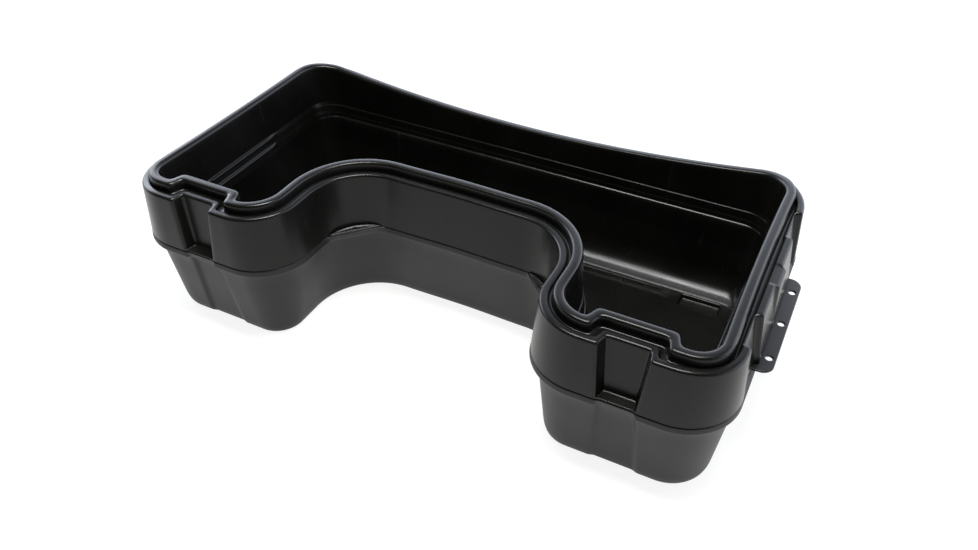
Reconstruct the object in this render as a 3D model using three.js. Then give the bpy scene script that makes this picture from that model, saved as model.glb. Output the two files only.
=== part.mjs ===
// Open base of a rear cargo box for a small off-road vehicle: a twin-sheet moulded tub, U-shaped in plan.
// The upper sheet is the basin, the rim, the lid gutter, the shoulder bead and the skirt.
// The lower sheet is the outer body under the parting line. Where both sheets are pressed together
// they form a bolt flange on each end and a small tab in each inner corner of the front recess.
// Millimetres, +X to the right, +Y to the back, +Z up. The origin is under the middle, on the ground.
import * as THREE from 'three';

// ---- driving dimensions -------------------------------------------------------------------------
const rimHalfLength = 446;      // rim centre line, middle to end
const rimHalfDepth = 223;       // rim centre line, middle to front or back
const recessWallY = -27;        // rim centre line along the front recess
const recessBow = 2;            // the recess wall stands this much further back in its middle
const recessCornerRadius = 112; // rim centre line, inner corners of the recess
const lobeCornerRadius = 52;    // rim centre line, where the recess meets a lobe's front
const lobeSideX = 223.8;        // rim centre line, side of the recess
const frontCornerRadius = 38;
const backCornerRadius = 56;
const smallestCorner = 20;      // no level turns its outer corners more sharply than this

const rimTopZ = 249.4;
const rimHalfWidth = 7.3;
const gutterZ = 232;
const beadTopZ = 238;
const partingZ = 147.6;
const flangeTopZ = 150.4;
const widestZ = 137.4;
const floorZ = 14;
const backRimDip = 36.5;        // the back rim sags this much in the middle
const endWallBow = 2.5;         // the end walls' rim stands this much further in at its middle
const wall = 3;
const clearance = 0.3;

const pocketX = 336;            // middle of each latch pocket in a lobe's front
const endRecess = { middleY: -11, padHalf: 91, openHalf: 154, keyHalf: 22 };

const flange = { outerX: 500, innerX: 482, frontY: -112, backY: 98, thickness: 3.4, cornerRadius: 17 };
const flangeHoles = { x: 490, radius: 5.5, middleY: -7.6, spacing: 74.5 };
const tab = { chordDistance: 65, arcRadius: 78, thickness: 3.2, holeRadius: 3.2, holeDistance: 71.5 };
const drain = { x: 259, y: 150, radius: 1.8 };
const floorRecess = { x: 353, y: 138.5, halfX: 35, halfY: 17, depth: 5, cornerRadius: 5 };

const colours = { satin: 0x232326, matte: 0x3a3a3a };

// ---- small helpers ------------------------------------------------------------------------------
const smooth = (t) => {
  const u = Math.min(1, Math.max(0, t));
  return u * u * (3 - 2 * u);
};

const spread = (from, to, count) => Array.from({ length: count }, (_, i) => from + (to - from) * i / count);

// Points on an arc, from the first angle up to but not including the last, in degrees.
const arc = (cx, cy, radius, from, to, count) => spread(from, to, count).map((degrees) => {
  const angle = THREE.MathUtils.degToRad(degrees);
  return [cx + radius * Math.cos(angle), cy + radius * Math.sin(angle)];
});

// ---- one level of the wall, as a closed loop ----------------------------------------------------
// A level is a horizontal ring round the tub. `out` is how far it stands outside the rim's centre
// line; back, recess and end walls may differ. Every level has the same number of points, and each
// point is [x, y, notch], where notch is 1 inside an end wall's notch and 0 elsewhere.
const levelDefaults = {
  out: 0,
  backExtra: 0,
  recessExtra: 0,
  endExtra: 0,
  frontCornerExtra: 0,  // added to the front corners' radius
  backCornerExtra: 0,
  lobeRadiusExtra: 0,
  pocketDepth: 0,
  pocketInner: 40,
  pocketOuter: 55,
  notchDepth: 0,        // how far the notch stands inside the level
  notchDrop: 0,         // how far below the level the notch passes
  padExtra: 0,
  keyExtra: 0,
  dip: 0,
  endDrop: 0,           // the level runs this much lower along the end walls
  bow: 0,
  chord: Infinity,      // flat across the recess's inner corners, at this distance from their centre
};

function recessCorner(level) {
  const out = level.out + level.recessExtra;
  const centreX = lobeSideX - recessCornerRadius;
  const centreY = recessWallY - recessCornerRadius;
  const points = arc(centreX, centreY, recessCornerRadius - out, 90, 0, 8);
  return points.map(([x, y]) => {
    const diagonal = (x - centreX + y - centreY) * Math.SQRT1_2;
    const excess = Math.max(0, diagonal - level.chord) * Math.SQRT1_2;
    return [x - excess, y - excess];
  });
}

// How much of the pocket's depth applies at this distance from its middle.
const pocketShare = (level, distance) =>
  1 - smooth((distance - level.pocketInner) / (level.pocketOuter - level.pocketInner));

const pressPocket = (level, points) =>
  points.map(([x, y]) => [x, y + level.pocketDepth * pocketShare(level, Math.abs(x - pocketX))]);

function lobeFront(level, startX, endX) {
  const y = -rimHalfDepth - level.out;
  const { pocketInner: inner, pocketOuter: outer } = level;
  const left = spread(Math.max(pocketX - outer, startX + 3), pocketX - inner, 3);
  const right = spread(pocketX + inner, Math.min(pocketX + outer, endX - 3), 3);
  const xs = [startX, ...left, ...spread(pocketX - inner, pocketX + inner, 2), ...right];
  return [...xs, Math.min(pocketX + outer, endX - 3)].map((x) => [x, y]);
}

// An end wall has a notch on both sides of a pad, and a key standing on the middle of the pad.
function endWall(level, frontRadius, backRadius) {
  const { middleY, padHalf, openHalf, keyHalf } = endRecess;
  const stops = [openHalf + 1.5, openHalf - 1.5, padHalf + 1.5, padHalf - 1.5, keyHalf + 3, keyHalf - 3];
  const offsets = [...stops.map((s) => -s), 0, ...stops.toReversed()];
  const frontY = -rimHalfDepth + frontRadius - level.out;
  const backY = rimHalfDepth + level.out + level.backExtra - backRadius;
  const plain = level.notchDepth === 0 && level.padExtra === 0;
  const evenYs = spread(frontY, backY, offsets.length + 1);
  const ys = plain ? evenYs : [frontY, ...offsets.map((s) => middleY + s)];
  return ys.map((y) => {
    const distance = Math.abs(y - middleY);
    const inNotch = !plain && distance > padHalf && distance < openHalf;
    const onPad = distance < padHalf ? level.padExtra + level.keyExtra * smooth((keyHalf + 3 - distance) / 6) : 0;
    const bow = level.bow * Math.max(0, 1 - (y / (rimHalfDepth - backRadius)) ** 2);
    const x = rimHalfLength + level.out + level.endExtra - bow + onPad - (inNotch ? level.notchDepth : 0);
    return [x, y, inNotch ? 1 : 0];
  });
}

function halfLoop(level) {
  const recessOut = level.out + level.recessExtra;
  const wallX = lobeSideX - recessCornerRadius;
  const wallY = recessWallY - recessOut;
  const recessWall = spread(0, wallX, 4).map((x) => [x, wallY + recessBow * smooth(1 - x / wallX)]);

  const lobeRadius = lobeCornerRadius + level.out + level.lobeRadiusExtra;
  const lobeX = lobeSideX - recessOut + lobeRadius;
  const lobeY = -rimHalfDepth - level.out + lobeRadius;
  const lobeCorner = arc(lobeX, lobeY, lobeRadius, 180, 270, 6);
  const sideStart = [[lobeSideX - recessOut, recessWallY - recessCornerRadius]];

  const frontRadius = Math.max(smallestCorner, frontCornerRadius + level.out + level.frontCornerExtra);
  const endX = rimHalfLength + level.out + level.endExtra;
  const frontArc = arc(endX - frontRadius, -rimHalfDepth - level.out + frontRadius, frontRadius, 270, 360, 5);

  const backOut = level.out + level.backExtra;
  const backRadius = Math.max(smallestCorner, backCornerRadius + level.out + level.backCornerExtra);
  const backX = endX - backRadius;
  const backArc = arc(backX, rimHalfDepth + backOut - backRadius, backRadius, 0, 90, 5);
  const backWall = spread(backX, 0, 7).map((x) => [x, rimHalfDepth + backOut]);

  const lobeEnd = lobeFront(level, lobeX, endX - frontRadius);
  const front = pressPocket(level, [...lobeCorner, ...lobeEnd, ...frontArc]);
  return [...recessWall, ...recessCorner(level), ...sideStart, ...front,
    ...endWall(level, frontRadius, backRadius), ...backArc, ...backWall, [0, rimHalfDepth + backOut]];
}

function ring(spec) {
  const level = { ...levelDefaults, ...spec };
  const half = halfLoop(level);
  const mirrored = half.slice(1, -1).reverse().map(([x, y, notch]) => [-x, y, notch]);
  return [...half, ...mirrored].map(([x, y, notch = 0]) => {
    const behind = smooth((y - rimHalfDepth + backCornerRadius) / backCornerRadius);
    const sag = level.dip * behind * Math.max(0, 1 - (x / rimHalfLength) ** 2);
    const drop = level.endDrop * smooth((Math.abs(x) - rimHalfLength + 40) / 50);
    return new THREE.Vector3(x, y, level.z - sag - drop - notch * level.notchDrop);
  });
}

// ---- a closed skin from a chain of rings --------------------------------------------------------
// The rings run from the middle of the top face, over the wall, to the middle of the bottom face.
class Skin {
  constructor() {
    this.points = [];
    this.faces = [];
  }

  addRing(ringPoints) {
    const start = this.points.length;
    this.points.push(...ringPoints);
    return { start, count: ringPoints.length, ringPoints };
  }

  join(inner, outer) {
    for (let i = 0; i < inner.count; i += 1) {
      const next = (i + 1) % inner.count;
      this.faces.push([inner.start + i, outer.start + i, outer.start + next]);
      this.faces.push([inner.start + i, outer.start + next, inner.start + next]);
    }
  }

  // A flat face inside a ring, with holes; it looks up, or down when flipped.
  cap(outer, holes, flipped) {
    const flat = (r) => r.ringPoints.map((p) => new THREE.Vector2(p.x, p.y));
    const order = [outer, ...holes].flatMap((r) => Array.from({ length: r.count }, (_, i) => r.start + i));
    const triangles = THREE.ShapeUtils.triangulateShape(flat(outer), holes.map(flat));
    const upward = triangles.map((triangle) => {
      const [a, b, c] = triangle.map((i) => order[i]);
      const [pa, pb, pc] = [a, b, c].map((i) => this.points[i]);
      const area = (pb.x - pa.x) * (pc.y - pa.y) - (pb.y - pa.y) * (pc.x - pa.x);
      return area > 0 ? [a, b, c] : [a, c, b];
    });
    this.useEveryPoint(upward, outer, 1);
    holes.forEach((hole) => this.useEveryPoint(upward, hole, -1));
    this.faces.push(...upward.map((face) => (flipped ? face.toReversed() : face)));
  }

  // Triangulating leaves out points in the middle of straight edges; this splits triangles at them.
  useEveryPoint(triangles, edgeRing, direction) {
    const at = (i) => edgeRing.start + (i + edgeRing.count) % edgeRing.count;
    const withEdge = (a, b) => triangles.findIndex((t) => t.some((v, k) => v === a && t[(k + 1) % 3] === b));
    const used = new Set(triangles.flat());
    for (let i = 0; i < edgeRing.count; i += 1) {
      const skipped = [];
      let j = i + 1;
      while (!used.has(at(j))) {
        skipped.push(at(j));
        j += 1;
      }
      if (!used.has(at(i)) || skipped.length === 0) continue;
      const chain = direction > 0 ? [at(i), ...skipped, at(j)] : [at(j), ...skipped.toReversed(), at(i)];
      const found = withEdge(chain[0], chain.at(-1));
      const far = triangles[found].find((v) => v !== chain[0] && v !== chain.at(-1));
      const fan = chain.slice(1).map((v, k) => [chain[k], v, far]);
      triangles.splice(found, 1, ...fan);
    }
  }

  mesh(name, colour, roughness) {
    const geometry = new THREE.BufferGeometry();
    const numbers = this.points.flatMap((p) => [p.x, p.y, p.z]);
    geometry.setAttribute('position', new THREE.Float32BufferAttribute(numbers, 3));
    geometry.setIndex(this.faces.flat());
    geometry.computeVertexNormals();
    return namedMesh(name, geometry, colour, roughness);
  }
}

function namedMesh(name, geometry, colour, roughness) {
  const material = new THREE.MeshStandardMaterial({ color: colour, roughness, metalness: 0 });
  const mesh = new THREE.Mesh(geometry, material);
  mesh.name = name;
  return mesh;
}

const circleRing = (x, y, z, radius, count = 12) =>
  arc(x, y, radius, 0, 360, count).map(([px, py]) => new THREE.Vector3(px, py, z));

function roundedRectRing(x, y, z, halfX, halfY, radius) {
  const corners = [[1, 1, 0], [-1, 1, 90], [-1, -1, 180], [1, -1, 270]];
  return corners.flatMap(([sx, sy, from]) => {
    const cx = x + sx * (halfX - radius);
    const cy = y + sy * (halfY - radius);
    return [...arc(cx, cy, radius, from, from + 90, 2), ...arc(cx, cy, radius, from + 90, from + 91, 1)]
      .map(([px, py]) => new THREE.Vector3(px, py, z));
  });
}

// ---- upper sheet --------------------------------------------------------------------------------
const pocketAt = (depth, inner, outer) => ({ pocketDepth: depth, pocketInner: inner, pocketOuter: outer });
const basinPocket = pocketAt(20, 47, 60);
const behindBasinPocket = pocketAt(20, 50, 63);
const crown = { dip: backRimDip, bow: endWallBow };
const rimPocket = pocketAt(21.5, 50, 62);
const outerRimPocket = pocketAt(21, 40, 52);

const basinLevels = [
  { z: floorZ, out: -36, backExtra: -27, ...basinPocket },
  { z: floorZ + 4, out: -31, backExtra: -19, endExtra: -4, ...basinPocket },
  { z: floorZ + 12, out: -28, backExtra: -11, endExtra: -6, ...basinPocket },
  { z: floorZ + 26, out: -25, backExtra: -4, endExtra: -5, ...basinPocket },
  { z: 146, out: -18, endExtra: -3, ...basinPocket },
  { z: 147.5, out: -15.5, endExtra: -3, ...basinPocket },
  { z: 168, out: -14, endExtra: -1.5, ...basinPocket },
  { z: 169.5, out: -11, ...basinPocket },
];

const rimLevels = [
  { z: rimTopZ - 8, out: -rimHalfWidth - 0.6, ...crown, ...rimPocket },
  { z: rimTopZ - 2.5, out: -rimHalfWidth, ...crown, ...rimPocket },
  { z: rimTopZ, out: -rimHalfWidth + 3, ...crown, ...rimPocket },
  { z: rimTopZ, out: rimHalfWidth - 2.5, ...crown, ...outerRimPocket },
  { z: rimTopZ - 2, out: rimHalfWidth, ...crown, ...outerRimPocket },
  { z: gutterZ, out: rimHalfWidth + 0.5, ...crown, ...outerRimPocket },
];

const notched = (depth, drop, pad, key) =>
  ({ notchDepth: depth, notchDrop: drop, padExtra: pad, keyExtra: key });
const rounder = { frontCornerExtra: 12, backCornerExtra: 15 };
const shoulder = { ...rounder, dip: backRimDip, endDrop: 3 };
const beadLevels = [
  { z: gutterZ, out: 12, ...shoulder, endDrop: 0, ...pocketAt(19.5, 34, 42), ...notched(0.5, 0, 1, 0) },
  { z: beadTopZ, out: 14.5, ...shoulder, ...pocketAt(19.5, 33, 41), ...notched(1, 3.5, 0, 0) },
  { z: beadTopZ, out: 22.5, ...shoulder, ...pocketAt(19, 29, 36), ...notched(7.5, 4, 0, 5.5) },
  { z: beadTopZ - 2.5, out: 25, ...shoulder, ...pocketAt(19, 28, 34), ...notched(9, 5.5, 0, 5.5) },
];

const skirtFoot = { ...rounder, out: 30.5, recessExtra: 2.7, endExtra: 1 };
const bottomPocket = pocketAt(19, 21.5, 27.5);
const bottomNotch = notched(4.5, 0, 3.5, 0);
const ledgeNotch = notched(4, 0, 3.5, 0);
const flangeLevels = [
  { z: flangeTopZ, ...skirtFoot, ...bottomPocket, ...bottomNotch },
  { z: flangeTopZ, ...skirtFoot, ...pocketAt(2.2, 22, 27.7), ...ledgeNotch },
  { z: partingZ, ...skirtFoot, ...pocketAt(2.2, 22, 27.7), ...ledgeNotch },
];

const behindSkirt = [
  { z: partingZ, ...skirtFoot, out: skirtFoot.out - wall, ...pocketAt(19, 24.5, 30.5), ...bottomNotch },
  { z: beadTopZ - 4, out: 22, ...shoulder, ...pocketAt(19, 31, 37), ...notched(9, 5.5, 0, 5.5) },
  { z: beadTopZ - wall, out: 21, ...shoulder, ...pocketAt(19, 32, 39), ...notched(8, 4.5, 0, 5.5) },
  { z: gutterZ - wall, out: 12, ...shoulder, endDrop: 0, ...pocketAt(19.5, 36, 44), ...notched(0.5, 0, 1, 0) },
  { z: gutterZ - wall, out: rimHalfWidth - wall, ...crown, ...outerRimPocket },
  { z: rimTopZ - wall, out: rimHalfWidth - wall - 1, ...crown, ...outerRimPocket },
  { z: rimTopZ - wall, out: -rimHalfWidth + wall + 1, ...crown, ...rimPocket },
  { z: 171, out: -11 + wall, ...behindBasinPocket },
  { z: 151.5, out: -15 + wall, ...behindBasinPocket },
  { z: 143, out: -18 + wall, ...behindBasinPocket },
  { z: floorZ + 24, out: -25 + wall, backExtra: -4, endExtra: -5, ...behindBasinPocket },
  { z: floorZ + 10, out: -28 + wall, backExtra: -11, endExtra: -6, ...behindBasinPocket },
  { z: floorZ - wall, out: -33, backExtra: -24, endExtra: -2, ...behindBasinPocket },
];

const mirroredSides = [1, -1];

function upperShell() {
  const skin = new Skin();
  const levels = [...basinLevels, ...rimLevels, ...beadLevels, ...flangeLevels, ...behindSkirt];
  const rings = levels.map((level) => skin.addRing(ring(level)));
  rings.slice(1).forEach((outer, i) => skin.join(rings[i], outer));

  const topHoles = [];
  const bottomHoles = [];
  const { halfX, halfY, depth, cornerRadius } = floorRecess;
  for (const side of mirroredSides) {
    const drainTop = skin.addRing(circleRing(side * drain.x, drain.y, floorZ, drain.radius));
    const drainFoot = skin.addRing(circleRing(side * drain.x, drain.y, floorZ - wall, drain.radius));
    skin.join(drainFoot, drainTop);
    const recessAt = (z, grow) => skin.addRing(
      roundedRectRing(side * floorRecess.x, floorRecess.y, z, halfX + grow, halfY + grow, cornerRadius + grow));
    const edge = recessAt(floorZ, 0);
    const foot = recessAt(floorZ - depth, -1);
    const underEdge = recessAt(floorZ - wall, wall);
    const underFoot = recessAt(floorZ - wall - depth, wall - 1);
    skin.join(foot, edge);
    skin.join(underEdge, underFoot);
    skin.cap(foot, [], false);
    skin.cap(underFoot, [], true);
    topHoles.push(drainTop, edge);
    bottomHoles.push(drainFoot, underEdge);
  }
  skin.cap(rings[0], topHoles, false);
  skin.cap(rings.at(-1), bottomHoles, true);
  return skin.mesh('upper_shell', colours.satin, 0.42);
}

// ---- lower sheet --------------------------------------------------------------------------------
const taper = (share) => ({
  frontCornerExtra: 12 + 5 * share,
  backCornerExtra: 15 - 5 * share,
  endExtra: 1 + 4 * share,
  lobeRadiusExtra: -11 * share,
});
const topEdge = { ...skirtFoot, chord: tab.chordDistance, ...pocketAt(2.2, 22, 27.7), ...ledgeNotch };

const lowerOutside = [
  { z: 0, out: -4, ...taper(1), ...pocketAt(2, 29, 35) },
  { z: 2, out: 1, ...taper(1), ...pocketAt(3, 29, 35) },
  { z: 9, out: 6, ...taper(1), ...pocketAt(4, 29, 35) },
  { z: widestZ - 8, out: 20, ...taper(0.4), chord: 78, ...pocketAt(5, 23, 28) },
  { z: widestZ - 3, out: 23, ...taper(0.3), chord: 76, ...pocketAt(5, 23, 28) },
  { z: widestZ, out: 32.2, recessExtra: 2.8, ...taper(0), chord: 68, ...pocketAt(5, 23, 28) },
  { z: partingZ - clearance, ...topEdge },
];

const lowerInside = [
  { z: partingZ - clearance, ...topEdge, out: 27.5, chord: 68, ...pocketAt(4, 25, 30.5) },
  { z: widestZ, out: 28.2, recessExtra: 2.8, ...taper(0), chord: 71, ...pocketAt(5, 26, 31) },
  { z: widestZ - 8, out: 17, ...taper(0.4), chord: 81, ...pocketAt(5, 26, 31) },
  { z: 10, out: 3, ...taper(1), ...pocketAt(4, 32, 38) },
  { z: wall, out: -4, ...taper(1), ...pocketAt(3, 32, 38) },
];

function lowerShell() {
  const skin = new Skin();
  const levels = [...lowerInside.toReversed(), ...lowerOutside.toReversed()];
  const rings = levels.map((level) => skin.addRing(ring(level)));
  rings.slice(1).forEach((outer, i) => skin.join(rings[i], outer));
  const drainRings = mirroredSides.map((side) => {
    const top = skin.addRing(circleRing(side * drain.x, drain.y, wall, drain.radius));
    const foot = skin.addRing(circleRing(side * drain.x, drain.y, 0, drain.radius));
    skin.join(foot, top);
    return { top, foot };
  });
  skin.cap(rings[0], drainRings.map((d) => d.top), false);
  skin.cap(rings.at(-1), drainRings.map((d) => d.foot), true);
  return skin.mesh('lower_shell', colours.matte, 0.62);
}

// ---- bolt flanges and corner tabs ---------------------------------------------------------------
function plate(name, shape, thickness, z) {
  const geometry = new THREE.ExtrudeGeometry(shape, { depth: thickness, bevelEnabled: false, curveSegments: 8 });
  geometry.translate(0, 0, z);
  return namedMesh(name, geometry, colours.matte, 0.6);
}

// A right-hand outline as a shape, mirrored for the left side.
function sidedShape(side, outline) {
  const points = outline.map(([x, y]) => new THREE.Vector2(side * x, y));
  return new THREE.Shape(side > 0 ? points : points.reverse());
}

function addHole(shape, x, y, radius) {
  const hole = new THREE.Path();
  hole.absarc(x, y, radius, 0, Math.PI * 2, true);
  shape.holes.push(hole);
}

function flangeShape(side) {
  const { outerX, innerX, frontY, backY, cornerRadius: r } = flange;
  const frontCorner = arc(outerX - r, frontY + r, r, 270, 360, 6);
  const backCorner = arc(outerX - r, backY - r, r, 0, 90, 6);
  const inside = [[outerX - r, backY], [innerX, backY], [innerX, frontY]];
  const shape = sidedShape(side, [...frontCorner, [outerX, frontY + r], ...backCorner, ...inside]);
  for (const step of [-1, 0, 1]) {
    addHole(shape, side * flangeHoles.x, flangeHoles.middleY + step * flangeHoles.spacing, flangeHoles.radius);
  }
  return shape;
}

// The tab is the part of a circle between its chord and the skirt's rounded inner corner.
function tabShape(side) {
  const centreX = lobeSideX - recessCornerRadius;
  const centreY = recessWallY - recessCornerRadius;
  const { chordDistance, arcRadius, holeRadius, holeDistance } = tab;
  const half = THREE.MathUtils.radToDeg(Math.acos((chordDistance - 0.5) / arcRadius));
  const edge = arc(centreX, centreY, arcRadius, 45 - half, 45 + half, 10);
  const lastPoint = arc(centreX, centreY, arcRadius, 45 + half, 46 + half, 1);
  const shape = sidedShape(side, [...edge, ...lastPoint]);
  const reach = holeDistance * Math.SQRT1_2;
  addHole(shape, side * (centreX + reach), centreY + reach, holeRadius);
  return shape;
}

const flangeZ = flangeTopZ - flange.thickness;
const tabZ = partingZ;

const model = new THREE.Group();
model.add(upperShell(), lowerShell());
for (const side of mirroredSides) {
  const hand = side > 0 ? 'right' : 'left';
  model.add(plate(`mounting_flange_${hand}`, flangeShape(side), flange.thickness, flangeZ));
  model.add(plate(`corner_tab_${hand}`, tabShape(side), tab.thickness, tabZ));
}

export default model;
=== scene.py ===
"""Open base tub of a rear cargo box: the CAD pieces rebuilt finely, in three black moulded plastics."""

import math

import bpy
import numpy as np
from mathutils import Matrix, Vector
from mathutils.geometry import tessellate_polygon


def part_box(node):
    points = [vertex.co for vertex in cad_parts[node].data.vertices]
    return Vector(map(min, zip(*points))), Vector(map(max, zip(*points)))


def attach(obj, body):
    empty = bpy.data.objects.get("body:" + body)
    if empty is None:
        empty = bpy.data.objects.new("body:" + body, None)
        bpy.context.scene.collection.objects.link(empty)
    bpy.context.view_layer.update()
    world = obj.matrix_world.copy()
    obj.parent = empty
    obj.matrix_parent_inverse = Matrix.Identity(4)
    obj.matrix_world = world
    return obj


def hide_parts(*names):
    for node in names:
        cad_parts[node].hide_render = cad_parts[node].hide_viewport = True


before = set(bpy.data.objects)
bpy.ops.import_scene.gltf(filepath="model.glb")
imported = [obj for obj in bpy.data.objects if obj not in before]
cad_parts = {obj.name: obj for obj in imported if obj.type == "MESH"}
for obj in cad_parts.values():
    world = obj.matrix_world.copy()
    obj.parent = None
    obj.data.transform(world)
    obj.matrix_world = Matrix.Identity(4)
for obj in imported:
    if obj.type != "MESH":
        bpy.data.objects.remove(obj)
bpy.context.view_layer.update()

MM = 0.001

# ---- sizes, in millimetres -----------------------------------------------------------------------
# x runs along the tub from its middle, y from front to back, z up from the ground.
RIM_LENGTH = 446       # rim centre line, middle to end
RIM_DEPTH = 223        # rim centre line, middle to front or back
RECESS_Y = -27         # rim centre line along the front recess
RECESS_BOW = 2         # how far the recess wall bows back in the middle
RECESS_RADIUS = 112
LOBE_RADIUS = 52       # the lobe's corner beside the recess
LOBE_SIDE_X = 223.8    # rim centre line along the lobe's inner side
RECESS_CENTRE_X = LOBE_SIDE_X - RECESS_RADIUS   # centre of the recess's round inner corner
RECESS_CENTRE_Y = RECESS_Y - RECESS_RADIUS
FRONT_RADIUS = 38
BACK_RADIUS = 56
SMALLEST_RADIUS = 20
RIM_TOP = 249.4
RIM_HALF = 7.3         # half the rim's width
GUTTER_Z = 232
BEAD_Z = 238
PARTING_Z = 147.6
FLANGE_TOP = 150.4
WIDEST_Z = 137.4
FLOOR_Z = 14
BACK_DIP = 36.5        # how far the back rim sags in the middle
END_BOW = 2.5
WALL = 3
POCKET_X = 336         # middle of the latch pocket in the front of each lobe

# The end wall has a pad in the middle with a key bump on it, and an open notch on each side of the pad.
END_MIDDLE_Y = -11
KEY_HALF = 22
PAD_HALF = 91
OPEN_HALF = 154
END_STEP = 3           # length over which the end wall steps in or out
END_ROUNDING = 2.6
END_GUTTER_DROP = 6.5  # how much lower the gutter runs along the end walls
END_DROP_REACH = 40    # how far in from the rim's end a drop begins, and how long it takes
END_DROP_FADE = 50
TIGHT_REACH = 50       # the same for the end wall's tighter rounding
TIGHT_FADE = 25
TIGHT_CORNER = 30      # this near the front and back walls the rounding isn't tighter
LEDGE_MIDDLE_Y = -28
LEDGE_HALF = 82
LEDGE_FADE = 8

TAB_CHORD = 65         # from the recess corner's centre to the tab's straight edge
DRAIN_X, DRAIN_Y, DRAIN_RADIUS = 259, 150, 1.8
FLOOR_RECESS = dict(x=353, y=138.5, half_x=34, half_y=15.5, depth=7.5)
FLOOR_RECESS_RADIUS = 5

CUT_BLEND = 3          # half the length over which a cut-off corner turns into its chord
DEPTH_WEIGHT = 0.7     # what a pocket's depth counts for in the distance between two levels
MOST_BLEND = 0.48      # the most of the way to the next level that a soft level may take up


def smooth(t):
    """0 up to 0, 1 from 1 on, and an S-shaped rise between."""
    t = np.clip(t, 0.0, 1.0)
    return t * t * (3 - 2 * t)


def arc(cx, cy, radius, start, stop, count):
    """Points on a circle from the start angle to just before the stop angle, in degrees."""
    angles = np.radians(np.linspace(start, stop, count, endpoint=False))
    return np.column_stack([cx + radius * np.cos(angles), cy + radius * np.sin(angles)])


# ---- one level of the wall -----------------------------------------------------------------------
# A level is a dict of sizes. `out` is how far it stands outside the rim's centre line, and `back`,
# `recess` and `end` add to it on one wall, as `front_r`, `back_r` and `lobe_r` add to one corner's
# radius. `depth`, `inner` and `outer` are the latch pocket's depth and the half widths of its panel and
# its mouth. `notch`, `pad`, `key`, `end_ledge` and `bow` move parts of the end wall in or out. The drops
# and `dip` lower parts of the level, and `chord` cuts the recess corner off. `soft` rounds the wall's
# profile, and `rounding` the loop's corners.
PLAIN = dict(
    z=0.0, out=0.0, back=0.0, recess=0.0, end=0.0, front_r=0.0, back_r=0.0, lobe_r=0.0,
    depth=0.0, inner=40.0, outer=55.0, notch=0.0, drop=0.0, pad=0.0, key=0.0,
    pad_drop=0.0, key_drop=0.0, dip=0.0, end_drop=0.0, bow=0.0, chord=150.0, soft=0.0,
    end_ledge=0.0, rounding=4.0,
)
POCKET_KEYS = ("depth", "inner", "outer")


def level(z, out, pocket=(0, 40, 55), notch=(0, 0, 0, 0), **extra):
    """One level: its pocket is (depth, inner, outer), its notch is (notch, drop, pad, key)."""
    made = dict(PLAIN, z=z, out=out, **extra)
    made.update(zip(POCKET_KEYS, pocket))
    made.update(zip(("notch", "drop", "pad", "key"), notch))
    return made


def mix(a, b, t):
    """The level that lies t of the way from a to b."""
    return {k: a[k] * (1 - t) + b[k] * t for k in PLAIN}


def gap(a, b):
    """How far apart two levels are along the wall's profile."""
    deeper = (a["depth"] - b["depth"]) * DEPTH_WEIGHT
    return math.hypot(a["z"] - b["z"], a["out"] - b["out"], deeper) + 1e-6


def rounded(levels, steps=6):
    """Rounds the profile at every level that has a soft size, by blending towards its neighbours."""
    chain = [levels[0]]
    for before, here, after in zip(levels, levels[1:], levels[2:]):
        if here["soft"] <= 0:
            chain.append(here)
            continue
        start = mix(here, before, min(MOST_BLEND, here["soft"] / gap(before, here)))
        stop = mix(here, after, min(MOST_BLEND, here["soft"] / gap(here, after)))
        for t in np.linspace(0, 1, steps):
            chain.append(mix(mix(start, here, t), mix(here, stop, t), t))
    return chain + [levels[-1]]


def recess_corner(v):
    """The round inner corner of the recess, cut off along a chord where the level has a short one."""
    out = v["out"] + v["recess"]
    points = arc(RECESS_CENTRE_X, RECESS_CENTRE_Y, RECESS_RADIUS - out, 90, 0, 48)
    diagonal = (points[:, 0] - RECESS_CENTRE_X + points[:, 1] - RECESS_CENTRE_Y) * math.sqrt(0.5)
    over = diagonal - v["chord"]
    easing = np.where(over > -CUT_BLEND, (over + CUT_BLEND) ** 2 / (4 * CUT_BLEND), 0)
    excess = np.where(over > CUT_BLEND, over, easing) * math.sqrt(0.5)
    return points - excess[:, None]


def press_pocket(v, points):
    """Moves the points across the latch pocket back, onto its panel and its sloping sides."""
    beyond_panel = np.abs(points[:, 0] - POCKET_X) - v["inner"]
    share = 1 - np.clip(beyond_panel / (v["outer"] - v["inner"]), 0, 1)
    points[:, 1] += v["depth"] * share
    return points


def gathered(start, stop, count):
    """Places from start to just before stop, closer together at both ends."""
    t = np.linspace(0, np.pi, count, endpoint=False)
    return start + (stop - start) * (0.5 - 0.5 * np.cos(t))


def lobe_front(v, start_x, end_x):
    """The straight front of a lobe, with its points gathered at the pocket's edges."""
    inner, outer = v["inner"], v["outer"]
    first = max(POCKET_X - outer, start_x + 3)
    last = min(POCKET_X + outer, end_x - 3)
    xs = np.concatenate([
        gathered(start_x, first, 10),
        gathered(first, POCKET_X - inner, 16),
        gathered(POCKET_X - inner, POCKET_X + inner, 26),
        gathered(POCKET_X + inner, last, 16),
        gathered(last, end_x, 12),
    ])
    return np.column_stack([xs, np.full_like(xs, -RIM_DEPTH - v["out"])])


def step(distance, edge, width):
    """1 inside the edge, 0 outside, rounded over the width."""
    return 1 - smooth((distance - edge) / width + 0.5)


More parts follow.
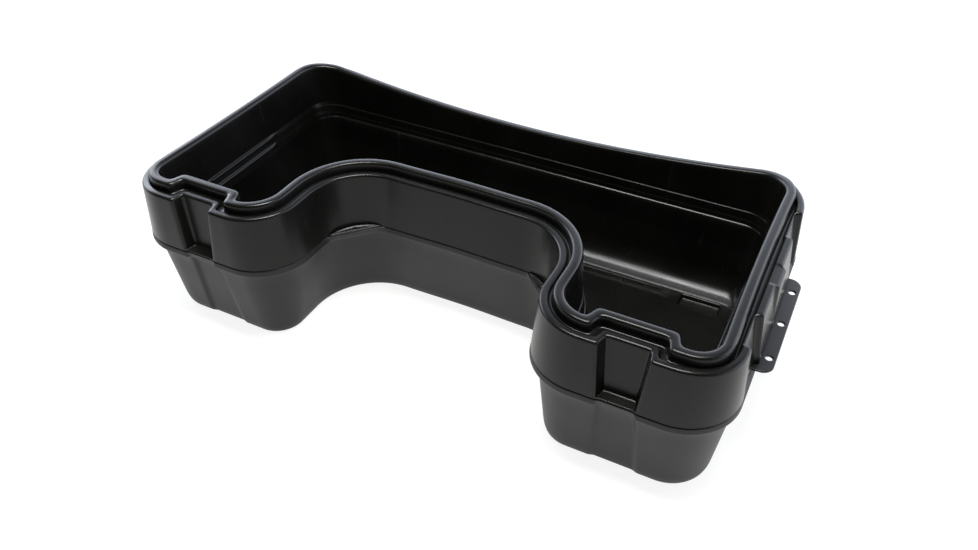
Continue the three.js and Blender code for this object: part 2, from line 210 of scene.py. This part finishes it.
def end_wall(v, front_radius, back_radius):
    """The end wall's points, and how far each one sinks below its level."""
    front_y = -RIM_DEPTH + front_radius - v["out"]
    back_y = RIM_DEPTH + v["out"] + v["back"] - back_radius
    near, clear = 8, 11
    edges = [np.linspace(half - near, half + near, 15) for half in (OPEN_HALF, PAD_HALF, KEY_HALF)]
    edges.append(np.linspace(KEY_HALF + clear, PAD_HALF - clear, 5))
    edges.append(np.linspace(PAD_HALF + clear, OPEN_HALF - clear, 4))
    offsets = np.sort(np.concatenate([-np.concatenate(edges), [0], np.concatenate(edges)]))
    ys = END_MIDDLE_Y + offsets
    low, high = front_y + 0.5, back_y - 0.5
    if ys[0] < low or ys[-1] > high:
        ys = low + (ys - ys[0]) * (high - low) / (ys[-1] - ys[0])
    ys = np.concatenate([[front_y], ys])
    distance = np.abs(ys - END_MIDDLE_Y)
    on_key = step(distance, KEY_HALF, END_STEP)
    on_pad = step(distance, PAD_HALF, END_STEP)
    in_notch = step(distance, OPEN_HALF, END_STEP) - on_pad
    bow = v["bow"] * np.maximum(0, 1 - (ys / (RIM_DEPTH - back_radius)) ** 2)
    x = RIM_LENGTH + v["out"] + v["end"] - bow - in_notch * v["notch"]
    x += on_pad * v["pad"] + on_key * v["key"]
    x -= v["end_ledge"] * step(np.abs(ys - LEDGE_MIDDLE_Y), LEDGE_HALF, LEDGE_FADE)
    sink = in_notch * v["drop"] + on_pad * v["pad_drop"] + on_key * v["key_drop"]
    return np.column_stack([x, ys, sink])


def round_corners(path, radius):
    """Rounds the half loop's corners by averaging it along its length, less so on the end wall."""
    margin = 10
    ahead = path[-2:-margin - 2:-1] * [-1, 1, 1]
    behind = path[margin:0:-1] * [-1, 1, 1]
    longer = np.concatenate([behind, path, ahead])
    along = np.concatenate([[0], np.cumsum(np.linalg.norm(np.diff(longer[:, :2], axis=0), axis=1))])
    here = along[margin:-margin]
    between_corners = np.abs(path[:, 1]) < RIM_DEPTH - TIGHT_CORNER
    at_end = smooth((path[:, 0] - RIM_LENGTH + TIGHT_REACH) / TIGHT_FADE) * between_corners
    radius = radius + (END_ROUNDING - radius) * at_end
    total = np.zeros_like(path)
    shifts = np.linspace(-1, 1, 9)
    weights = 1.25 - np.abs(shifts)
    for shift, weight in zip(shifts, weights / weights.sum()):
        for axis in range(3):
            total[:, axis] += weight * np.interp(here + shift * radius, along, longer[:, axis])
    total[0, 0] = total[-1, 0] = 0
    return total


def half_loop(v):
    """The right half of a level's loop, from the middle of the recess round to the middle of the back."""
    recess_out = v["out"] + v["recess"]
    xs = np.linspace(0, RECESS_CENTRE_X, 14, endpoint=False)
    bow = RECESS_BOW * smooth(1 - xs / RECESS_CENTRE_X)
    recess_wall = np.column_stack([xs, RECESS_Y - recess_out + bow])

    lobe_radius = LOBE_RADIUS + v["out"] + v["lobe_r"]
    lobe_x = LOBE_SIDE_X - recess_out + lobe_radius
    lobe_corner = arc(lobe_x, -RIM_DEPTH - v["out"] + lobe_radius, lobe_radius, 180, 270, 30)
    side_top = np.array([LOBE_SIDE_X - recess_out, RECESS_CENTRE_Y])
    side = side_top + (lobe_corner[0] - side_top) * np.linspace(0, 1, 5, endpoint=False)[:, None]

    front_radius = max(SMALLEST_RADIUS, FRONT_RADIUS + v["out"] + v["front_r"])
    end_x = RIM_LENGTH + v["out"] + v["end"]
    front_y = -RIM_DEPTH - v["out"] + front_radius
    front_arc = arc(end_x - front_radius, front_y, front_radius, 270, 360, 26)

    back_out = v["out"] + v["back"]
    back_radius = max(SMALLEST_RADIUS, BACK_RADIUS + v["out"] + v["back_r"])
    back_x = end_x - back_radius
    back_arc = arc(back_x, RIM_DEPTH + back_out - back_radius, back_radius, 0, 90, 26)
    xs = np.linspace(back_x, 0, 40)
    back_wall = np.column_stack([xs, np.full_like(xs, RIM_DEPTH + back_out)])

    front = np.concatenate([lobe_corner, lobe_front(v, lobe_x, end_x - front_radius), front_arc])
    flat_before = np.concatenate([recess_wall, recess_corner(v), side, press_pocket(v, front)])
    flat_after = np.concatenate([back_arc, back_wall])
    path = np.concatenate([
        np.column_stack([flat_before, np.zeros(len(flat_before))]),
        end_wall(v, front_radius, back_radius),
        np.column_stack([flat_after, np.zeros(len(flat_after))]),
    ])
    return round_corners(path, v["rounding"])


def ring(v):
    """A level's closed loop, with its own height at every point."""
    half = half_loop(v)
    x, y, sink = np.concatenate([half, half[-2:0:-1] * [-1, 1, 1]]).T
    behind = smooth((y - RIM_DEPTH + BACK_RADIUS) / BACK_RADIUS)
    sag = v["dip"] * behind * np.maximum(0, 1 - (x / RIM_LENGTH) ** 2)
    drop = v["end_drop"] * smooth((np.abs(x) - RIM_LENGTH + END_DROP_REACH) / END_DROP_FADE)
    return np.column_stack([x, y, v["z"] - sag - drop - sink])


# ---- skins ---------------------------------------------------------------------------------------
def shrink(loop, amount):
    """The same loop moved inwards by the amount, for the flat margin round a cap."""
    ahead = np.roll(loop, -1, axis=0) - np.roll(loop, 1, axis=0)
    normal = np.column_stack([-ahead[:, 1], ahead[:, 0]])
    normal /= np.linalg.norm(normal, axis=1)[:, None] + 1e-9
    moved = loop.copy()
    moved[:, :2] += normal * amount
    return moved


class Skin:
    """A closed mesh that grows loop by loop."""

    def __init__(self):
        self.points = []
        self.faces = []

    def add(self, loop):
        start = len(self.points)
        self.points += [tuple(p) for p in np.asarray(loop) * MM]
        return list(range(start, start + len(loop)))

    def join(self, inner, outer):
        """A band between two loops with the same number of points."""
        count = len(inner)
        for i in range(count):
            j = (i + 1) % count
            self.faces.append((inner[i], outer[i], outer[j], inner[j]))

    def cap(self, rings, flipped=False):
        """Fills the first ring, less the others inside it. The face looks up, or down when flipped."""
        order = [i for r in rings for i in r]
        triangles = tessellate_polygon([[Vector(self.points[i]) for i in r] for r in rings])
        for triangle in triangles:
            a, b, c = (order[i] for i in triangle)
            pa, pb, pc = (self.points[i] for i in (a, b, c))
            area = (pb[0] - pa[0]) * (pc[1] - pa[1]) - (pb[1] - pa[1]) * (pc[0] - pa[0])
            upward = (a, b, c) if area > 0 else (a, c, b)
            self.faces.append(upward[::-1] if flipped else upward)

    def build(self, name, material, slot, nodes):
        """Makes the object that stands in for the CAD nodes."""
        mesh = bpy.data.meshes.new(name)
        mesh.from_pydata(self.points, [], self.faces)
        mesh.validate()
        mesh.shade_smooth()
        mesh.materials.append(material)
        made = bpy.data.objects.new(name, mesh)
        bpy.context.scene.collection.objects.link(made)
        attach(made, "root")
        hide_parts(*nodes)


def circle(x, y, z, radius, count=40):
    return np.column_stack([arc(x, y, radius, 0, 360, count), np.full(count, z)])


def rounded_box(x, y, z, half_x, half_y, radius, count=7):
    corners = [(1, 1, 0), (-1, 1, 90), (-1, -1, 180), (1, -1, 270)]
    parts = []
    for sx, sy, start in corners:
        centre = (x + sx * (half_x - radius), y + sy * (half_y - radius))
        parts.append(arc(*centre, radius, start, start + 90 * count / (count - 1), count))
    flat = np.concatenate(parts)
    return np.column_stack([flat, np.full(len(flat), z)])


# ---- upper sheet ---------------------------------------------------------------------------------
BASIN_POCKET = (20, 47, 58)
RIM_POCKET = (21.5, 53, 61)
OUTER_RIM_POCKET = (21, 43.5, 50)
CROWN = dict(dip=BACK_DIP, bow=END_BOW, rounding=9)
ROUNDER = dict(front_r=12, back_r=15)
SHOULDER = dict(ROUNDER, dip=BACK_DIP, end_drop=3, pad_drop=2, rounding=6.5)
GUTTER = dict(ROUNDER, dip=BACK_DIP, end_drop=END_GUTTER_DROP, rounding=6.5)
FOOT = dict(ROUNDER, recess=2.7, end=1)
FOOT_POCKET = (2.2, 22.5, 27.2)
FOOT_NOTCH = (4, 0, 3.5, 0)
HIDDEN_POCKET = (20, 50, 63)


def basin_wall(z, out, end_x, ledge=0.0, soft=1.0):
    """A level high up the basin's wall, with the end walls at their own distance."""
    return level(z, out, BASIN_POCKET, end=end_x - RIM_LENGTH - out, end_ledge=ledge, soft=soft)


def upper_levels():
    """From the basin's floor over the rim and down the skirt, then back behind it all to the floor."""
    basin = [
        level(FLOOR_Z, -37, BASIN_POCKET, back=-28, soft=0.6),
        level(FLOOR_Z + 1.4, -36.4, BASIN_POCKET, back=-27.2, soft=0.6),
        level(FLOOR_Z + 4, -32, BASIN_POCKET, back=-20, end=-3, soft=3),
        level(FLOOR_Z + 13, -28, BASIN_POCKET, back=-10, end=-6, soft=8),
        level(FLOOR_Z + 30, -25.5, BASIN_POCKET, back=-3.5, end=-5, soft=9),
        basin_wall(100, -21.8, 420.5, 0.0, 5),
        basin_wall(137, -20.8, 424, 3.0, 5),
        basin_wall(145.6, -19.0, 424.5, 3.5, 4.5),
        basin_wall(147.2, -15.6, 425, 3.5, 1.6),
        basin_wall(154.2, -15.2, 426.5, 3.5, 0.8),
        basin_wall(155.2, -14.4, 426.7, 3.5, 0.8),
        basin_wall(159, -14.1, 428, 4.4, 1.4),
        basin_wall(161.2, -14.0, 428.5, 1.6, 0.8),
        basin_wall(168.2, -13.5, 430.2, 1.6, 0.7),
        basin_wall(169.6, -11.6, 430.6, 1.6, 0.7),
        basin_wall(173, -11.5, 432, 3.2, 1.4),
        basin_wall(175.4, -11.4, 433, 0.0, 0.8),
        level(RIM_TOP - 14, -RIM_HALF - 1.3, RIM_POCKET, **CROWN, soft=3),
    ]
    rim = [
        level(RIM_TOP, -RIM_HALF - 0.2, RIM_POCKET, **CROWN, soft=6.2),
        level(RIM_TOP, RIM_HALF + 0.2, OUTER_RIM_POCKET, **CROWN, soft=5.2),
        level(GUTTER_Z + 0.5, RIM_HALF + 1, OUTER_RIM_POCKET, **CROWN, end_drop=END_GUTTER_DROP, soft=2.2),
    ]
    bead = [
        level(GUTTER_Z + 0.5, 12.5, (19.5, 36, 41), (0.5, 0, 1, 0), **GUTTER, soft=2.2),
        level(BEAD_Z, 13.6, (19.5, 35, 40), (1, 3.5, 0, 0), **SHOULDER, soft=3.2),
        level(BEAD_Z, 25, (19, 29, 33.5), (9, 4, 0, 5.5), **SHOULDER, key_drop=2.5, soft=4.6),
    ]
    foot = [
        level(FLANGE_TOP, 30.4, (19, 22, 27), (4.5, 0, 3.5, 0), **FOOT, soft=2.5),
        level(FLANGE_TOP, 30.5, FOOT_POCKET, FOOT_NOTCH, **FOOT, soft=0.7),
        level(PARTING_Z + 1.2, 30.5, FOOT_POCKET, FOOT_NOTCH, **FOOT, soft=0.5),
        level(PARTING_Z, 29.3, FOOT_POCKET, FOOT_NOTCH, **FOOT),
    ]
    behind = [
        level(PARTING_Z, 27.5, (19, 24.5, 30.5), (4.5, 0, 3.5, 0), **FOOT),
        level(BEAD_Z - 6, 22, (19, 31, 37), (9, 5.5, 0, 5.5), **SHOULDER),
        level(BEAD_Z - 5, 20, (19, 32, 39), (8, 4.5, 0, 5.5), **SHOULDER),
        level(GUTTER_Z - WALL, 12, (19.5, 36, 44), (0.5, 0, 1, 0), **GUTTER),
        level(GUTTER_Z - WALL, RIM_HALF - WALL, OUTER_RIM_POCKET, **CROWN, end_drop=END_GUTTER_DROP),
        level(RIM_TOP - 5, RIM_HALF - WALL - 1.5, OUTER_RIM_POCKET, **CROWN),
        level(RIM_TOP - 5, -RIM_HALF + WALL + 1, RIM_POCKET, **CROWN),
        level(178, -7, HIDDEN_POCKET),
        level(143, -13, HIDDEN_POCKET),
        level(FLOOR_Z + 26, -20.5, HIDDEN_POCKET, back=-4, end=-5),
        level(FLOOR_Z + 10, -23.5, HIDDEN_POCKET, back=-9, end=-6),
        level(FLOOR_Z - WALL, -32, HIDDEN_POCKET, back=-24, end=-2),
    ]
    return rounded(basin + rim + bead + foot) + behind


def floor_details(skin, side):
    """The drain hole and the sunk pad. Gives the loops that the floor and its underside end at."""
    x = side * DRAIN_X
    top = skin.add(circle(x, DRAIN_Y, FLOOR_Z, DRAIN_RADIUS + 0.4))
    lip = skin.add(circle(x, DRAIN_Y, FLOOR_Z - 0.5, DRAIN_RADIUS))
    foot = skin.add(circle(x, DRAIN_Y, FLOOR_Z - WALL, DRAIN_RADIUS))
    skin.join(lip, top)
    skin.join(foot, lip)

    depth = FLOOR_RECESS["depth"]

    def recess_loop(down, wider):
        half_x, half_y = FLOOR_RECESS["half_x"] + wider, FLOOR_RECESS["half_y"] + wider
        place = side * FLOOR_RECESS["x"], FLOOR_RECESS["y"], FLOOR_Z - down
        return skin.add(rounded_box(*place, half_x, half_y, FLOOR_RECESS_RADIUS + wider))

    sunk_foot = ((depth, -3.4), (depth, -2.6), (depth - 1, -1.2))
    rolled_edge = ((2.4, -0.6), (1, 0), (0.3, 0.9), (0, 2.4), (0, 3.4))
    edges = [recess_loop(down, wider) for down, wider in sunk_foot + rolled_edge]
    for inner, outer in zip(edges, edges[1:]):
        skin.join(inner, outer)
    skin.cap([edges[0]])
    under = recess_loop(WALL, 3)
    bottom = recess_loop(WALL + depth, 2)
    skin.join(under, bottom)
    skin.cap([bottom], flipped=True)
    return [top, edges[-1]], [foot, under]


def upper_sheet():
    skin = Skin()
    loops = [ring(v) for v in upper_levels()]
    loops.insert(0, shrink(loops[0], 1.5))
    rings = [skin.add(loop) for loop in loops]
    for inner, outer in zip(rings, rings[1:]):
        skin.join(inner, outer)
    tops, bottoms = [], []
    for side in (1, -1):
        above, below = floor_details(skin, side)
        tops += above
        bottoms += below
    skin.cap([rings[0], *tops])
    skin.cap([rings[-1], *bottoms], flipped=True)
    return skin


# ---- lower sheet ---------------------------------------------------------------------------------
def taper(share):
    """The corner sizes of a lower level, from those at the parting line (0) to those at the base (1)."""
    return dict(front_r=12 + 5 * share, back_r=15 - 5 * share, end=1 + 4 * share, lobe_r=-11 * share)


def lower_levels():
    """The inside from the base up to the parting line, and the outside from there down to the base."""
    inside = [
        level(WALL, -4, (3, 32, 38), **taper(1)),
        level(10, 3, (4, 32, 38), **taper(1)),
        level(WIDEST_Z - 8, 16, (5, 26, 31), **taper(0.4)),
        level(WIDEST_Z, 28.2, (5, 26, 31), **taper(0), recess=2.8, chord=71),
        level(PARTING_Z - 0.3, 27.5, (4, 25, 30.5), FOOT_NOTCH, **FOOT, chord=68),
    ]
    outside = [
        level(PARTING_Z - 0.3, 29.3, FOOT_POCKET, FOOT_NOTCH, **FOOT, chord=TAB_CHORD, soft=0.3),
        level(PARTING_Z - 1.5, 30.8, FOOT_POCKET, FOOT_NOTCH, **FOOT, chord=TAB_CHORD, soft=0.6),
        level(WIDEST_Z + 2, 32, (5, 23, 28), **taper(0), recess=2.8, chord=66.5, soft=1.5),
        level(WIDEST_Z - 1, 31.4, (5, 23, 28), **taper(0), recess=2.8, chord=68, soft=1.6),
        level(WIDEST_Z - 4.5, 23.5, (5, 23, 28), **taper(0.3), chord=92, soft=3),
        level(WIDEST_Z - 22, 19.5, (5, 23.5, 28.5), **taper(0.45), soft=12),
        level(12, 6.4, (4, 29, 35), **taper(1), soft=9),
        level(0.6, 2.5, (2.5, 29, 35), **taper(1), soft=8),
        level(0, -6, (2, 29, 35), **taper(1), soft=2),
    ]
    return inside, outside


def lower_sheet():
    skin = Skin()
    inside, outside = lower_levels()
    loops = [ring(v) for v in inside + rounded(outside, steps=7)]
    loops.append(shrink(loops[-1], 1.5))
    rings = [skin.add(loop) for loop in loops]
    for inner, outer in zip(rings, rings[1:]):
        skin.join(inner, outer)
    tops, feet = [], []
    for side in (1, -1):
        top = skin.add(circle(side * DRAIN_X, DRAIN_Y, WALL, DRAIN_RADIUS))
        foot = skin.add(circle(side * DRAIN_X, DRAIN_Y, 0, DRAIN_RADIUS))
        skin.join(foot, top)
        tops.append(top)
        feet.append(foot)
    skin.cap([rings[0], *tops])
    skin.cap([rings[-1], *feet], flipped=True)
    return skin


# ---- materials -----------------------------------------------------------------------------------
def new_material(name):
    material = bpy.data.materials.new(name)
    material.use_nodes = True
    tree = material.node_tree
    tree.nodes.clear()
    return material, tree


def add_node(tree, kind, **inputs):
    node = tree.nodes.new(kind)
    for key, value in inputs.items():
        node.inputs[key.replace("_", " ")].default_value = value
    return node


def noise(tree, where, scale, detail, roughness=0.5):
    node = add_node(tree, "ShaderNodeTexNoise", Scale=scale, Detail=detail, Roughness=roughness)
    tree.links.new(where, node.inputs["Vector"])
    return node.outputs["Fac"]


def remap(tree, value, low, high, to_low, to_high):
    node = tree.nodes.new("ShaderNodeMapRange")
    for key, number in zip(("From Min", "From Max", "To Min", "To Max"), (low, high, to_low, to_high)):
        node.inputs[key].default_value = number
    tree.links.new(value, node.inputs["Value"])
    return node.outputs["Result"]


def blend_colours(tree, factor, first, second):
    node = tree.nodes.new("ShaderNodeMix")
    node.data_type = "RGBA"
    node.inputs["A"].default_value = (*first, 1)
    node.inputs["B"].default_value = (*second, 1)
    tree.links.new(factor, node.inputs["Factor"])
    return node.outputs["Result"]


def stretched(tree, where, scale):
    """The same coordinates with a scale of their own on each axis."""
    node = tree.nodes.new("ShaderNodeMapping")
    node.inputs["Scale"].default_value = scale
    tree.links.new(where, node.inputs["Vector"])
    return node.outputs["Vector"]


def bump(tree, height, strength, distance, below=None):
    """A bump from the height, on top of the bump below it if there is one."""
    node = add_node(tree, "ShaderNodeBump", Strength=strength, Distance=distance)
    tree.links.new(height, node.inputs["Height"])
    if below is not None:
        tree.links.new(below, node.inputs["Normal"])
    return node.outputs["Normal"]


SCUFF_COLOUR = (0.16, 0.16, 0.165, 1)


def plastic(name, dark, light, roughness, gloss, grain_scale, grain_strength, scuff):
    """Black moulded plastic: patchy sheen, fine grain, slow waves in the wall, faint upright scuffs."""
    material, tree = new_material(name)
    where = tree.nodes.new("ShaderNodeTexCoord").outputs["Object"]
    patches = noise(tree, where, 9.0, 3.0)
    grain = noise(tree, where, grain_scale, 3.0, 0.6)
    waves = noise(tree, where, 14.0, 2.0)
    streaks = noise(tree, stretched(tree, where, (60.0, 60.0, 4.0)), 2.2, 6.0, 0.62)

    shader = add_node(tree, "ShaderNodeBsdfPrincipled")
    output = tree.nodes.new("ShaderNodeOutputMaterial")
    tree.links.new(shader.outputs["BSDF"], output.inputs["Surface"])

    colour = blend_colours(tree, remap(tree, patches, 0.35, 0.7, 0.0, 1.0), dark, light)
    scuffs = remap(tree, streaks, 0.62, 0.74, 0.0, scuff)
    worn = tree.nodes.new("ShaderNodeMix")
    worn.data_type = "RGBA"
    worn.inputs["B"].default_value = SCUFF_COLOUR
    tree.links.new(scuffs, worn.inputs["Factor"])
    tree.links.new(colour, worn.inputs["A"])
    tree.links.new(worn.outputs["Result"], shader.inputs["Base Color"])

    rough = remap(tree, patches, 0.3, 0.7, roughness - 0.04, roughness + 0.05)
    tree.links.new(rough, shader.inputs["Roughness"])
    shader.inputs["Specular IOR Level"].default_value = gloss

    slow = bump(tree, waves, 0.25, 0.0012)
    tree.links.new(bump(tree, grain, grain_strength, 0.0002, slow), shader.inputs["Normal"])
    return material


satin = plastic(
    "satin_black",
    dark=(0.0030, 0.0029, 0.0025),
    light=(0.0045, 0.0044, 0.0039),
    roughness=0.27,
    gloss=0.25,
    grain_scale=900.0,
    grain_strength=0.10,
    scuff=0.05,
)
grained = plastic(
    "grained_black",
    dark=(0.008, 0.008, 0.0078),
    light=(0.011, 0.011, 0.0107),
    roughness=0.46,
    gloss=0.36,
    grain_scale=420.0,
    grain_strength=0.5,
    scuff=0.05,
)
pressed = plastic(
    "flange_black",
    dark=(0.008, 0.008, 0.0085),
    light=(0.012, 0.012, 0.0125),
    roughness=0.36,
    gloss=0.40,
    grain_scale=1000.0,
    grain_strength=0.2,
    scuff=0.04,
)

upper_sheet().build("upper_shell_fine", satin, "satin_black", ["upper_shell"])
lower_sheet().build("lower_shell_fine", grained, "grained_black", ["lower_shell"])


# ---- flanges and tabs ----------------------------------------------------------------------------
TAB_RADIUS = 78
TAB_HOLE_REACH = 71.5   # from the recess corner's centre
TAB_HOLE_RADIUS = 2.4


def lens(side, z, inset):
    """The outline between the recess corner's chord and the tab's arc, both moved in by the inset."""
    chord, radius = TAB_CHORD + inset, TAB_RADIUS - inset
    half = math.degrees(math.acos(chord / radius))
    curve = arc(0, 0, radius, 45 - half, 45 + half, 40)
    first_step = 0.025
    across = curve[-1] * (1 - first_step) + curve[0] * first_step
    flat = across + (curve[0] - across) * np.linspace(0, 1, 14)[:, None]
    points = np.concatenate([curve, flat[:-1]])
    points += [RECESS_CENTRE_X, RECESS_CENTRE_Y]
    points = (points * [side, 1])[::side]
    return np.column_stack([points, np.full(len(points), z)])


def corner_tab(side, name, low, high):
    """A web with a raised border, and a raised ring round its hole."""
    skin = Skin()
    web = high - 1.4
    border = ((0, low), (0, high - 0.6), (0.5, high), (1.5, high), (2.0, web), (2.6, web))
    rings = [skin.add(lens(side, z, inset)) for inset, z in border]
    for lower, upper in zip(rings, rings[1:]):
        skin.join(upper, lower)
    diagonal = TAB_HOLE_REACH * math.sqrt(0.5)
    x, y = side * (RECESS_CENTRE_X + diagonal), RECESS_CENTRE_Y + diagonal
    boss = ((2.8, web), (2.4, web), (1.9, high), (0.9, high), (0, high - 0.9), (0, low))
    eye = [skin.add(circle(x, y, z, TAB_HOLE_RADIUS + wider)) for wider, z in boss]
    for outer, inner in zip(eye, eye[1:]):
        skin.join(inner, outer)
    skin.cap([rings[-1], eye[0]])
    skin.cap([rings[0], eye[-1]], flipped=True)
    skin.build(name, pressed, "flange_black", [name.removesuffix("_fine")])


FLANGE_INNER = 472      # a little way in under the skirt
FLANGE_OUTER = 500
FLANGE_ENDS = (-112, 98)
FLANGE_RADIUS = 17
BOLT_X = 490
BOLT_MIDDLE_Y = -7.6
BOLT_SPACING = 74.5
BOLT_RADIUS = 5.1


def flange_outline(side, z, inset):
    """The plate's outline moved in by the inset, with its two outer corners round."""
    front, back = FLANGE_ENDS[0] + inset, FLANGE_ENDS[1] - inset
    radius = FLANGE_RADIUS - inset
    x = FLANGE_OUTER - inset - radius
    front_corner = arc(x, front + radius, radius, 270, 361, 12)
    back_corner = arc(x, back - radius, radius, 0, 91, 12)
    inner_edge = np.column_stack([np.full(12, FLANGE_INNER + inset), np.linspace(back, front, 12)])
    points = np.concatenate([front_corner, back_corner, inner_edge])
    points = (points * [side, 1])[::side]
    return np.column_stack([points, np.full(len(points), z)])


def mounting_flange(side, name, low, high):
    """A pressed plate with rounded edges and three bolt holes with rounded lips."""
    skin = Skin()
    border = ((0.7, low), (0, low + 0.7), (0, high - 0.9), (0.3, high - 0.25), (1, high), (1.8, high))
    rings = [skin.add(flange_outline(side, z, inset)) for inset, z in border]
    for lower, upper in zip(rings, rings[1:]):
        skin.join(upper, lower)
    tops, feet = [], []
    for place in (-1, 0, 1):
        y = BOLT_MIDDLE_Y + place * BOLT_SPACING
        lip = ((1.4, high), (0.7, high), (0.2, high - 0.3), (0, high - 0.9), (0, low))
        hole = [skin.add(circle(side * BOLT_X, y, z, BOLT_RADIUS + wider)) for wider, z in lip]
        for outer, inner in zip(hole, hole[1:]):
            skin.join(inner, outer)
        tops.append(hole[0])
        feet.append(hole[-1])
    skin.cap([rings[-1], *tops])
    skin.cap([rings[0], *feet], flipped=True)
    skin.build(name, pressed, "flange_black", [name.removesuffix("_fine")])


for side, hand in ((1, "right"), (-1, "left")):
    low, high = (corner[2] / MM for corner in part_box(f"corner_tab_{hand}"))
    corner_tab(side, f"corner_tab_{hand}_fine", low, high)
    low, high = (corner[2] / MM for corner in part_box(f"mounting_flange_{hand}"))
    mounting_flange(side, f"mounting_flange_{hand}_fine", low, high)


# ---- floor, light and camera ---------------------------------------------------------------------
FLOOR_REACH = 12        # in metres, as all of this section
FLOOR_GAP = 0.0006      # keeps the floor and the tub's base from flickering
FLOOR_GLOW = 0.88       # keeps the floor white, with almost no shadow
HORIZON = (3.1, 3.3, 3.8)
CEILING = (0.14, 0.15, 0.17)
ROOM = (0.06, 0.055, 0.043)
WHITE = (1, 1, 1)
DAYLIGHT = (0.88, 0.94, 1)

CAMERA_PLACE = (0.5166, -0.9549, 0.9473)
CAMERA_AZIMUTH = 26.46
CAMERA_ELEVATION = 39.55
CAMERA_ROLL = 0.24
CAMERA_LENS = 31.03     # in millimetres, on a sensor 36 mm wide
CAMERA_SHIFT = (-0.0056, -0.0008)


def area_light(name, place, aim, size, power, colour):
    data = bpy.data.lights.new(name, "AREA")
    data.shape = "RECTANGLE"
    data.size, data.size_y = size
    data.energy = power
    data.color = colour
    lamp = bpy.data.objects.new(name, data)
    lamp.location = place
    lamp.rotation_euler = (Vector(aim) - Vector(place)).to_track_quat("-Z", "Y").to_euler()
    bpy.context.scene.collection.objects.link(lamp)


def pale_floor():
    mesh = bpy.data.meshes.new("floor")
    signs = ((-1, -1), (1, -1), (1, 1), (-1, 1))
    mesh.from_pydata([(x * FLOOR_REACH, y * FLOOR_REACH, 0) for x, y in signs], [], [(0, 1, 2, 3)])
    made = bpy.data.objects.new("floor", mesh)
    made.location.z = -FLOOR_GAP
    bpy.context.scene.collection.objects.link(made)
    material, tree = new_material("floor_white")
    shader = add_node(tree, "ShaderNodeBsdfPrincipled", Roughness=0.9)
    shader.inputs["Base Color"].default_value = (0.22, 0.22, 0.21, 1)
    shader.inputs["Specular IOR Level"].default_value = 0.1
    shader.inputs["Emission Color"].default_value = (*WHITE, 1)
    shader.inputs["Emission Strength"].default_value = FLOOR_GLOW
    output = tree.nodes.new("ShaderNodeOutputMaterial")
    tree.links.new(shader.outputs["BSDF"], output.inputs["Surface"])
    mesh.materials.append(material)


def studio_world():
    """A bright backdrop behind the object, a dark ceiling, and a dark room on the camera's side."""
    world = bpy.data.worlds.new("studio")
    world.use_nodes = True
    tree = world.node_tree
    background = tree.nodes["Background"]
    axes = tree.nodes.new("ShaderNodeSeparateXYZ")
    tree.links.new(tree.nodes.new("ShaderNodeTexCoord").outputs["Generated"], axes.inputs["Vector"])
    higher = remap(tree, axes.outputs["Z"], 0.35, 0.75, 0.0, 1.0)
    nearer = remap(tree, axes.outputs["Y"], 0.35, -0.35, 0.0, 1.0)
    behind = blend_colours(tree, higher, HORIZON, CEILING)
    around = tree.nodes.new("ShaderNodeMix")
    around.data_type = "RGBA"
    around.inputs["B"].default_value = (*ROOM, 1)
    tree.links.new(nearer, around.inputs["Factor"])
    tree.links.new(behind, around.inputs["A"])
    tree.links.new(around.outputs["Result"], background.inputs["Color"])
    background.inputs["Strength"].default_value = 1.0
    bpy.context.scene.world = world


def photo_camera():
    azimuth, elevation, roll = (math.radians(a) for a in (CAMERA_AZIMUTH, CAMERA_ELEVATION, CAMERA_ROLL))
    ahead = Vector((-math.sin(azimuth), math.cos(azimuth), 0))
    forward = ahead * math.cos(elevation) - Vector((0, 0, math.sin(elevation)))
    right = Vector((math.cos(azimuth), math.sin(azimuth), 0))
    up = right.cross(forward)
    turned_right = right * math.cos(roll) + up * math.sin(roll)
    turned_up = up * math.cos(roll) - right * math.sin(roll)
    data = bpy.data.cameras.new("photo_view")
    data.sensor_width = 36
    data.lens = CAMERA_LENS
    data.shift_x, data.shift_y = CAMERA_SHIFT
    camera = bpy.data.objects.new("photo_view", data)
    bpy.context.scene.collection.objects.link(camera)
    axes = Matrix((turned_right, turned_up, -forward)).transposed().to_4x4()
    camera.matrix_world = Matrix.Translation(CAMERA_PLACE) @ axes
    bpy.context.scene.camera = camera


pale_floor()
bpy.context.scene.view_settings.view_transform = "Standard"
studio_world()
area_light("overhead", (0.1, -0.15, 2.4), (0.1, -0.1, 0), (1.4, 0.6), 84, WHITE)
area_light("left_window", (-3.0, 1.0, 1.6), (0, 0, 0.1), (1.8, 1.2), 35, DAYLIGHT)
photo_camera()
